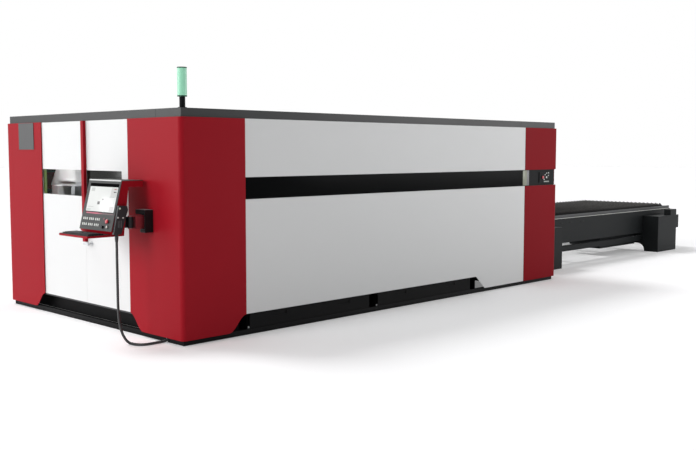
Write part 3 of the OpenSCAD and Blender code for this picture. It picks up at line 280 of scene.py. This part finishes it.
def round_edges(piece, width, angle=30):
    """Rounds the sharp edges with an applied bevel and smooths what is rounded."""
    bpy.context.view_layer.objects.active = piece
    bpy.ops.object.modifier_add(type="BEVEL")
    bevel = piece.modifiers[-1]
    bevel.width = width / 1000
    bevel.segments = 2
    bevel.limit_method = "ANGLE"
    bevel.angle_limit = math.radians(angle)
    bpy.ops.object.modifier_apply(modifier=bevel.name)
    bpy.ops.object.shade_smooth_by_angle(angle=math.radians(angle))


def block(name, middle, size, edge, turn=0.0):
    """A block at its place and size in millimetres, turned about the machine's cross axis."""
    bpy.ops.object.select_all(action="DESELECT")
    bpy.ops.mesh.primitive_cube_add(size=1, location=middle, rotation=(0, turn, 0), scale=[s / 1000 for s in size])
    piece = bpy.context.object
    piece.name = name
    bpy.ops.object.transform_apply(location=True, rotation=True, scale=True)
    round_edges(piece, edge)
    return piece


def between(name, low, high, edge):
    """A block between two corners measured from the cabin's near front corner."""
    middle = at(*((a + b) / 2 for a, b in zip(low, high)))
    return block(name, middle, [b - a for a, b in zip(low, high)], edge)


def disc(name, middle, radius, depth, edge, way, dish=0.0):
    """A round button or ring, with its axis turned by way and its front dished or raised."""
    bpy.ops.object.select_all(action="DESELECT")
    bpy.ops.mesh.primitive_cylinder_add(vertices=32, radius=radius / 1000, depth=depth / 1000, location=middle,
                                        rotation=way)
    piece = bpy.context.object
    piece.name = name
    front = (way_matrix(way) @ Vector((0, 0, 1))).normalized()
    bpy.ops.object.transform_apply(location=True, rotation=True, scale=True)
    if dish:
        for face in piece.data.polygons:
            face.select = face.normal.dot(front) > 0.9
        bpy.ops.object.mode_set(mode="EDIT")
        bpy.ops.mesh.select_mode(type="FACE")
        bpy.ops.mesh.inset(thickness=radius * 0.25 / 1000)
        bpy.ops.transform.translate(value=front * dish / 1000)
        bpy.ops.object.mode_set(mode="OBJECT")
    round_edges(piece, edge)
    return piece


def way_matrix(way):
    """The turn that a primitive made with this rotation has."""
    return Matrix.Rotation(way[2], 3, "Z") @ Matrix.Rotation(way[1], 3, "Y") @ Matrix.Rotation(way[0], 3, "X")


def fit(piece, material, body):
    """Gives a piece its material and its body."""
    piece.data.materials.clear()
    piece.data.materials.append(material)
    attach(piece, body)
    return piece


def gather(name, pieces):
    """Joins like pieces into one."""
    bpy.ops.object.select_all(action="DESELECT")
    for piece in pieces:
        piece.select_set(True)
    bpy.context.view_layer.objects.active = pieces[0]
    bpy.ops.object.join()
    pieces[0].name = name
    return pieces[0]


glass_edge = powder_coat("glass_edge", "7C806C", 0.3, vary=0.08)
fit(between("strip_glass_edge", (5264, 9.5, 1282), (5352, 13, 1477), 1), glass_edge, "machine")
edge_grey = powder_coat("edge_grey", "6E6E70", 0.35, vary=0.08)
edge_piece = between("strip_end_cover", (5354, 10, 1282), (5404, 29, 1477), 2)
fit(edge_piece, edge_grey, "machine")

# Door windows: tinted safety glass clipped behind each leaf, nearly clear in the left one and
# nearly black in the right one. A green sealing strip shows at the left one's far end.


def safety_glass(name, cover):
    """Tinted glass, which covers this share of what stands behind it."""
    material, mat_nodes, mat_links, shader = new_material(name)
    shader.inputs["Base Color"].default_value = linear("0C0F0C")
    shader.inputs["Roughness"].default_value = 0.06
    shader.inputs["Specular IOR Level"].default_value = 0.1
    shader.inputs["Alpha"].default_value = cover
    fine_noise(mat_nodes, mat_links, shader, 30, 0.01)
    return material


dress(safety_glass("clear_safety_glass", 0.22), "left_door_glass")
dress(safety_glass("dark_safety_glass", 0.93), "right_door_glass")
seal_green = powder_coat("seal_green", "77913F", 0.5, vary=0.08)
fit(between("left_window_seal", (22.5, 2452, 1262), (30, 2514, 1542), 1.5), seal_green, "left_leaf")

# Roof fascia: a dark folded frame with butt joints, which carries the flat roof sheet.
fascia_coat = powder_coat("fascia_coat", "2A2B2C", 0.42, specular=0.28, vary=0.06)
dress(fascia_coat, "roof")

# Door handle: a turned spindle and a cast lever with a satin nickel finish.
nickel = powder_coat("satin_nickel", "C4C6C8", 0.32, metal=1.0, peel=0.02)
dress(nickel, "door_handle")

# Plain square plate: sheet steel with a matt black coat, screwed on under the roof.
plate_coat = powder_coat("plate_coat", "2A2B2D", 0.4, vary=0.06)
dress(plate_coat, "blank_plate")

# Signal lamp: a ribbed polycarbonate lens, lit from inside, on a black pole. Its cap and its
# base are black rings.
lens, lens_nodes, lens_links, lens_shader = new_material("lamp_lens")
fine_noise(lens_nodes, lens_links, lens_shader, 160, 0.05, (1, 1, 0.01))
lens_shader.inputs["Base Color"].default_value = linear("8BC7AB")
lens_shader.inputs["Roughness"].default_value = 0.22
lens_shader.inputs["Emission Color"].default_value = linear("8FE0B4")
lens_shader.inputs["Emission Strength"].default_value = 0.17
dress(lens, "signal_lamp")
black_coat = powder_coat("black_coat", "121315", 0.4, specular=0.05, vary=0.08)
dress(black_coat, "signal_pole")
lamp_middle = (118, 130)
lamp_base = 2200
ring_radius = 43.5
for ring_name, ring_z, ring_h in (("lamp_base_ring", lamp_base + 4, 9), ("lamp_cap", lamp_base + 253, 8)):
    ring = disc(ring_name, at(*lamp_middle, ring_z), ring_radius, ring_h, 1.5, (0, 0, 0), dish=1.0)
    fit(ring, black_coat, "machine")

# Rear control panel: a black box in the strip's recess, with a red stop button, a white button
# and five small round white keys over a grey label rail.
dress(black_coat, "rear_control_panel")
button_red = powder_coat("button_red", "B8323C", 0.3, vary=0.05)
button_white = powder_coat("button_white", "DDE0DC", 0.3, vary=0.03)
dress(button_red, "rear_stop_button")
dress(button_white, "rear_white_button")
small_keys = [
    disc("rear_key", at(x, 17, z), 8, 6, 1.2, (math.pi / 2, 0, 0), dish=-1.0)
    for x, z in ((5828, 1432), (5872, 1436), (5792, 1412), (5872, 1402), (5768, 1352))
]
fit(gather("rear_small_keys", small_keys), button_white, "machine")
rail_grey = powder_coat("rail_grey", "8C918C", 0.4)
fit(between("rear_label_rail", (5764, 15, 1315), (5884, 18.2, 1331), 1), rail_grey, "machine")

# Console: a red folded housing with a grey front plate that bends back over the top. The lit
# display stands in a dark frame under a black bar, over a red line. A pale strip along the bend is a painted
# highlight.
face_x, face_z, console_y = -372, 1021, 530
face_turn = math.radians(14.4 - 90)
face_grey = powder_coat("face_grey", "464747", 0.45, specular=0.12, vary=0.08)
dress(face_grey, "console_face")
dark_glass = powder_coat("dark_glass", "101214", 0.2, specular=0.08, vary=0.05, peel=0.004)
dress(dark_glass, "console_screen")


def face_at(up, across, out):
    """A place on the console's face: up its slope, across from its near side, and out of it."""
    turn = Matrix.Rotation(face_turn, 3, "Y")
    return at(face_x, console_y, face_z) + turn @ Vector((up, across, out)) / 1000


def face_block(name, up, across, out, edge):
    """A block on the face, given by its two ends in each direction."""
    middle = face_at(*((a + b) / 2 for a, b in (up, across, out)))
    return block(name, middle, [b - a for a, b in (up, across, out)], edge, face_turn)


screen_light, light_nodes, light_links, light_shader = new_material("screen_light")
light_place = light_nodes.new("ShaderNodeTexCoord")
light_turn = light_nodes.new("ShaderNodeMapping")
light_turn.vector_type = "TEXTURE"
light_turn.inputs["Location"].default_value = face_at(0, 0, 0)
light_turn.inputs["Rotation"].default_value = (0, face_turn, 0)
light_split = light_nodes.new("ShaderNodeSeparateXYZ")
light_links.new(light_place.outputs["Object"], light_turn.inputs["Vector"])
light_links.new(light_turn.outputs["Vector"], light_split.inputs["Vector"])
screen_colour = light_nodes.new("ShaderNodeRGB").outputs[0]
screen_colour.default_value = linear("D2D4D2")
screen_fields = [
    (300, 384, 32, 130, "C0C2BF"), (366, 376, 40, 84, "AA757A"), (341, 349, 40, 86, "302325"),
    (297, 301, 60, 140, "8F9895"), (240, 372, 48, 54, "B5C1BD"), (200, 203, 380, 480, "999C9A"),
    (226, 254, 285, 327, "5A5B5B"), (266, 280, 232, 256, "8C898B"), (345, 380, 410, 470, "B8BAB8"),
    (168, 184, 420, 490, "BAC3BD"), (168, 214, 40, 110, "BDBABA"),
]
for low_up, high_up, low_across, high_across, field_colour in screen_fields:
    inside = None
    for axis, low, high in (("X", low_up, high_up), ("Y", low_across, high_across)):
        near = light_nodes.new("ShaderNodeMath")
        near.operation = "COMPARE"
        near.inputs[1].default_value = (low + high) / 2000
        near.inputs[2].default_value = (high - low) / 2000
        light_links.new(light_split.outputs[axis], near.inputs[0])
        if inside is None:
            inside = near.outputs[0]
        else:
            both = light_nodes.new("ShaderNodeMath")
            both.operation = "MULTIPLY"
            light_links.new(inside, both.inputs[0])
            light_links.new(near.outputs[0], both.inputs[1])
            inside = both.outputs[0]
    mix = light_nodes.new("ShaderNodeMix")
    mix.data_type = "RGBA"
    mix.inputs["B"].default_value = linear(field_colour)
    light_links.new(inside, mix.inputs["Factor"])
    light_links.new(screen_colour, mix.inputs["A"])
    screen_colour = mix.outputs["Result"]
screen_dim = light_nodes.new("ShaderNodeHueSaturation")
screen_paint = 0.85
screen_dim.inputs["Value"].default_value = screen_paint
light_links.new(screen_colour, screen_dim.inputs["Color"])
light_links.new(screen_dim.outputs["Color"], light_shader.inputs["Base Color"])
light_links.new(screen_colour, light_shader.inputs["Emission Color"])
light_shader.inputs["Emission Strength"].default_value = 0.15
light_shader.inputs["Roughness"].default_value = 0.25
fit(face_block("console_display", (160, 390), (27, 500), (-0.5, 1.5), 0.6), screen_light, "console")
bar_black = powder_coat("bar_black", "0D0D0E", 0.5, specular=0.0)
fit(face_block("console_display_bar", (394, 421), (24, 504), (-0.5, 2.5), 0.8), bar_black, "console")
# Pale strip along the face's bend: a painted highlight.
bend_highlight_paint = powder_coat("bend_highlight_paint", "C9CBCA", 0.35)
fit(face_block("console_bend_highlight", (445, 457), (4, 546), (-4, 1.5), 1.0), bend_highlight_paint, "console")
line_red, line_nodes, line_links, line_shader = new_material("line_red")
line_place = fine_noise(line_nodes, line_links, line_shader, 300, 0.02)[0]
line_split = line_nodes.new("ShaderNodeSeparateXYZ")
line_span = line_nodes.new("ShaderNodeMapRange")
line_mix = line_nodes.new("ShaderNodeMix")
line_mix.data_type = "RGBA"
line_span.inputs["From Min"].default_value = corner_y + (console_y + 190) / 1000
line_span.inputs["From Max"].default_value = corner_y + (console_y + 290) / 1000
line_mix.inputs["A"].default_value = linear("4A2A30")
line_mix.inputs["B"].default_value = linear("A8485E")
line_links.new(line_place.outputs["Object"], line_split.inputs["Vector"])
line_links.new(line_split.outputs["Y"], line_span.inputs["Value"])
line_links.new(line_span.outputs["Result"], line_mix.inputs["Factor"])
line_links.new(line_mix.outputs["Result"], line_shader.inputs["Base Color"])
line_shader.inputs["Roughness"].default_value = 0.35
fit(face_block("console_red_line", (138, 151), (17, 482), (-0.5, 1.2), 0.4), line_red, "console")

# Face keys: eighteen pale moulded keys with dished tops, in two rows of three groups.
key_pale = powder_coat("key_pale", "D2D4D0", 0.4, vary=0.08)


def face_key(up, across):
    """One key: a block whose top is inset and sunk."""
    key = face_block("face_key", (up - 11, up + 11), (across - 7, across + 7), (-0.5, 3.5), 0.1)
    outward = (Matrix.Rotation(face_turn, 3, "Y") @ Vector((0, 0, 1))).normalized()
    for face in key.data.polygons:
        face.select = face.normal.dot(outward) > 0.95 and face.area > 1e-4
    bpy.ops.object.mode_set(mode="EDIT")
    bpy.ops.mesh.select_mode(type="FACE")
    bpy.ops.mesh.inset(thickness=0.003)
    bpy.ops.transform.translate(value=-outward * 0.0008)
    bpy.ops.object.mode_set(mode="OBJECT")
    return key


first_key = face_key(90, 236)
face_keys = [first_key]
for row_up in (90, 38):
    for group in range(3):
        for place_in_group in range(3):
            across = 236 + group * 104 + place_in_group * 30
            if (row_up, across) != (90, 236):
                twin = first_key.copy()
                twin.data = first_key.data.copy()
                bpy.context.scene.collection.objects.link(twin)
                twin.data.transform(Matrix.Translation(face_at(row_up, across, 0) - face_at(90, 236, 0)))
                face_keys.append(twin)
fit(gather("console_face_keys", face_keys), key_pale, "console")
face_way = (0, face_turn, 0)
key_red = powder_coat("key_red", "7C3A40", 0.4)
small_ring = disc("console_small_ring", face_at(98, 157, 1.5), 10, 4, 0.8, face_way, dish=-1.5)
fit(small_ring, key_red, "console")

# Side module, keyboard and tray: a moulded black module with a signal light and two white
# buttons on its side, and a membrane keyboard on a rubber mat in the red tray.
module_grey = powder_coat("module_grey", "26282A", 0.42, specular=0.25)
dress(module_grey, "console_module")
side_way = (math.pi / 2, 0, 0)
module_green = powder_coat("module_green", "CFE3CF", 0.25)
module_side = console_y - 30
light_disc = disc("module_light", at(-301, module_side - 1.5, 1216), 9, 5, 1.2, side_way, dish=0.8)
fit(light_disc, module_green, "console")
module_buttons = [
    disc("module_button", at(x, module_side - 1.5, z), 7, 5, 1.0, side_way, dish=-0.8)
    for x, z in ((-322, 1136), (-272, 1132))
]
fit(gather("module_buttons", module_buttons), button_white, "console")
module_lines = [
    between("module_line", (x0, module_side - 1, z0), (x0 + 5, module_side + 1, z0 + 62), 0.4)
    for x0, z0 in ((-322, 1046), (-306, 1046), (-290, 1046))
]
line_grey = powder_coat("line_grey", "55595A", 0.4)
fit(gather("module_lines", module_lines), line_grey, "console")
key_black = powder_coat("key_black", "17181A", 0.35, specular=0.15, vary=0.1)
dress(key_black, "keyboard", "speed_knob")

# Buttons on the face: a red stop mushroom, a pale start button and a fluted knob.
stop_red = powder_coat("stop_red", "C02A38", 0.28, vary=0.04)
dress(stop_red, "stop_button")
start_pale = powder_coat("start_pale", "A8A29C", 0.3)
dress(start_pale, "start_button")

# Wall bracket, arm and knuckle: welded plate and tube, coated black, with the arm in crimson.
# The top of the bracket's upper flange is painted light grey: a painted highlight.
arm_paint = powder_coat("arm_paint", "82252D", 0.34, specular=0.8)
dress(arm_paint, "console_arm")
bracket_black = powder_coat("bracket_black", "141517", 0.38, specular=0.2)
dress(bracket_black, "console_knuckle")
bracket_top, top_nodes, top_links, top_shader = new_material("bracket_top_painted_highlight")
top_place = fine_noise(top_nodes, top_links, top_shader, 420, 0.03)[0]
top_split = top_nodes.new("ShaderNodeSeparateXYZ")
# Above this height the flange turns light grey, a painted highlight.
flange_top = 1.195
top_step = top_nodes.new("ShaderNodeMath")
top_step.operation = "GREATER_THAN"
top_step.inputs[1].default_value = flange_top
top_mix = top_nodes.new("ShaderNodeMix")
top_mix.data_type = "RGBA"
top_mix.inputs["A"].default_value = linear("141517")
top_mix.inputs["B"].default_value = linear("929292")
top_links.new(top_place.outputs["Object"], top_split.inputs["Vector"])
top_links.new(top_split.outputs["Z"], top_step.inputs[0])
top_links.new(top_step.outputs["Value"], top_mix.inputs["Factor"])
top_links.new(top_mix.outputs["Result"], top_shader.inputs["Base Color"])
top_shader.inputs["Roughness"].default_value = 0.38
top_shader.inputs["Specular IOR Level"].default_value = 0.2
dress(bracket_top, "wall_bracket")

# Cabin structure: welded square tube and plate with a dark grey coat, on zinc-plated levelling
# feet. The base and its slag drawers are matt black, made near black as painted shade for the recess under the
# panels.
frame_coat = powder_coat("frame_coat", "242628", 0.5, specular=0.4, vary=0.08)
dress(frame_coat, "cabin_frame", "bed_frame")
# Near-black coat: black paint darkened further as painted shade for the recess.
plinth_black_and_shade = powder_coat("plinth_black_and_shade", "0B0B0C", 0.6, specular=0.08, vary=0.08)
dress(plinth_black_and_shade, "base_frame", "slag_drawer_front", "slag_drawer_rear", "cable_gland")

# Plinth skirt: low matt black angle all round under the panels, with its top leg turned inward. Its black closes the
# gap to the floor and stands in for the contact shade under the base, as painted shade.
# The front one is in two lengths and leaves a gap for the conduit. A plate closes the base's end
# behind the rising edge of the near side's lower panel.
# Black skirt sheets: painted shade under the base.
skirt_painted_shade = powder_coat("skirt_painted_shade", "0C0C0D", 0.6, specular=0.1)
skirt_low, skirt_leg, skirt_high = 1, 46, 51.5
skirt_ends = [
    ((30, 36, skirt_low), (6020, 42, skirt_high)),
    ((30, 3260, skirt_low), (6020, 3266, skirt_high)),
    ((34, 42, skirt_low), (40, 284, skirt_high)),
    ((34, 316, skirt_low), (40, 3260, skirt_high)),
    ((6010, 42, skirt_low), (6016, 3260, skirt_high)),
    ((40, 42, skirt_leg), (6010, 58, skirt_high)),
    ((40, 3244, skirt_leg), (6010, 3260, skirt_high)),
    ((40, 58, skirt_leg), (76, 284, skirt_high)),
    ((40, 316, skirt_leg), (76, 3244, skirt_high)),
    ((34, 284, skirt_leg), (58, 316, skirt_high)),
    ((782, 58, skirt_leg), (2438, 77, skirt_high)),
    ((2562, 58, skirt_leg), (4218, 77, skirt_high)),
    ((4342, 58, skirt_leg), (5017, 77, skirt_high)),
    ((5141, 60, 52), (5330, 66, 198)),
]
skirt_lengths = [between("plinth_skirt_length", low, high, 1) for low, high in skirt_ends]
fit(gather("plinth_skirt", skirt_lengths), skirt_painted_shade, "machine")


def bare_metal(name, colour, roughness, stretch, scale=60, bump=0.03):
    """Machined or brushed metal, with its marks drawn out along one direction."""
    material, mat_nodes, mat_links, shader = new_material(name)
    grain = fine_noise(mat_nodes, mat_links, shader, scale, bump, stretch)[1]
    mix = mat_nodes.new("ShaderNodeMix")
    mix.data_type = "RGBA"
    base = linear(colour)
    mix.inputs["A"].default_value = tuple(c * 0.85 for c in base[:3]) + (1,)
    mix.inputs["B"].default_value = tuple(min(1, c * 1.1) for c in base[:3]) + (1,)
    mat_links.new(grain.outputs["Fac"], mix.inputs["Factor"])
    mat_links.new(mix.outputs["Result"], shader.inputs["Base Color"])
    gloss = mat_nodes.new("ShaderNodeMapRange")
    gloss.inputs["To Min"].default_value = roughness - 0.08
    gloss.inputs["To Max"].default_value = roughness + 0.1
    mat_links.new(grain.outputs["Fac"], gloss.inputs["Value"])
    mat_links.new(gloss.outputs["Result"], shader.inputs["Roughness"])
    shader.inputs["Metallic"].default_value = 1.0
    return material


ground_steel = bare_metal("ground_steel", "9EA1A4", 0.3, (0.05, 1, 1))
dress(ground_steel, "gantry_rails", "drive_shaft")
zinc = bare_metal("zinc_plate", "A9ACAF", 0.4, (1, 1, 1), scale=25)
dress(zinc, "levelling_feet", "extraction_duct")

# Gantry, carriage and head: a white cast beam on its rails, the cross carriage on its face, and
# the head in machined aluminium.
gantry_white = powder_coat("gantry_white", "EEEFEF", 0.4, vary=0.02)
dress(gantry_white, "gantry", "cross_carriage")
dress(bare_metal("machined_aluminium", "C2C5C8", 0.34, (1, 1, 0.08)), "cutting_head")
dress(powder_coat("shutter_coat", "B4B7B9", 0.42), "rear_shutter")

# Pallets: welded dark frames with saw-toothed slats, which cutting has stained and roughened.
# Below the tips they are darkened to near black: painted shade in the gaps between the slats.
dress(powder_coat("pallet_coat", "2A2B2D", 0.5, vary=0.12), "upper_pallet", "lower_pallet")
slat_stain_and_shade, slat_nodes, slat_links, slat_shader = new_material("slat_stain_and_shade")
slat_place, slat_grain = fine_noise(slat_nodes, slat_links, slat_shader, 130, 0.35)
slat_ramp = slat_nodes.new("ShaderNodeValToRGB")
slat_ramp.color_ramp.elements[0].position = 0.35
slat_ramp.color_ramp.elements[0].color = linear("151415")
slat_ramp.color_ramp.elements[1].position = 0.7
slat_ramp.color_ramp.elements[1].color = linear("8C8A87")
slat_links.new(slat_grain.outputs["Fac"], slat_ramp.inputs["Fac"])
# The slats turn near black below their tips, painted shade between them; the noise ramp above is the stain.
painted_shade_depth, painted_shade_above = 0.035, 0.005
slat_split = slat_nodes.new("ShaderNodeSeparateXYZ")
slat_rise = slat_nodes.new("ShaderNodeMapRange")
slat_top = max((nodes["upper_slats"].matrix_world @ Vector(c)).z for c in nodes["upper_slats"].bound_box)
slat_rise.inputs["From Min"].default_value = slat_top - painted_shade_depth
slat_rise.inputs["From Max"].default_value = slat_top + painted_shade_above
slat_mix = slat_nodes.new("ShaderNodeMix")
slat_mix.data_type = "RGBA"
slat_mix.inputs["A"].default_value = linear("0A0A0A")
slat_links.new(slat_place.outputs["Object"], slat_split.inputs["Vector"])
slat_links.new(slat_split.outputs["Z"], slat_rise.inputs["Value"])
slat_links.new(slat_rise.outputs["Result"], slat_mix.inputs["Factor"])
slat_links.new(slat_ramp.outputs["Color"], slat_mix.inputs["B"])
slat_links.new(slat_mix.outputs["Result"], slat_shader.inputs["Base Color"])
slat_shader.inputs["Roughness"].default_value = 0.6
slat_shader.inputs["Metallic"].default_value = 0.2
dress(slat_stain_and_shade, "upper_slats", "lower_slats")

# Exchange table: plate side beams with a raised band, box legs and a drive under the deck, all
# in a dark grey coat. A pale strip on the band's top edge is a painted highlight, and three short black plates on
# the band are painted shade for slots.
table_coat = powder_coat("table_coat", "1B1D1E", 0.45, specular=0.08, vary=0.06)
dress(table_coat, "table_frame", "table_legs", "drive_housing")
# Pale strip on the band's top edge: a painted highlight.
edge_highlight_paint = powder_coat("edge_highlight_paint", "E6E8E2", 0.4)
band_in, band_out = 813.2, 816.5
bright_edge = between("beam_painted_highlight", (6096, band_in, 697), (11196, band_out, 702), 0.6)
fit(bright_edge, edge_highlight_paint, "machine")
# Black plates for the slots: painted shade in their hollows.
slot_painted_shade = powder_coat("slot_painted_shade", "0A0A0B", 0.6, specular=0.2)
beam_slots = [
    between("beam_slot", (x, band_in, 621), (x + w, band_out, 635), 0.5)
    for x, w in ((7490, 80), (7750, 90), (8080, 120))
]
fit(gather("beam_slots", beam_slots), slot_painted_shade, "machine")
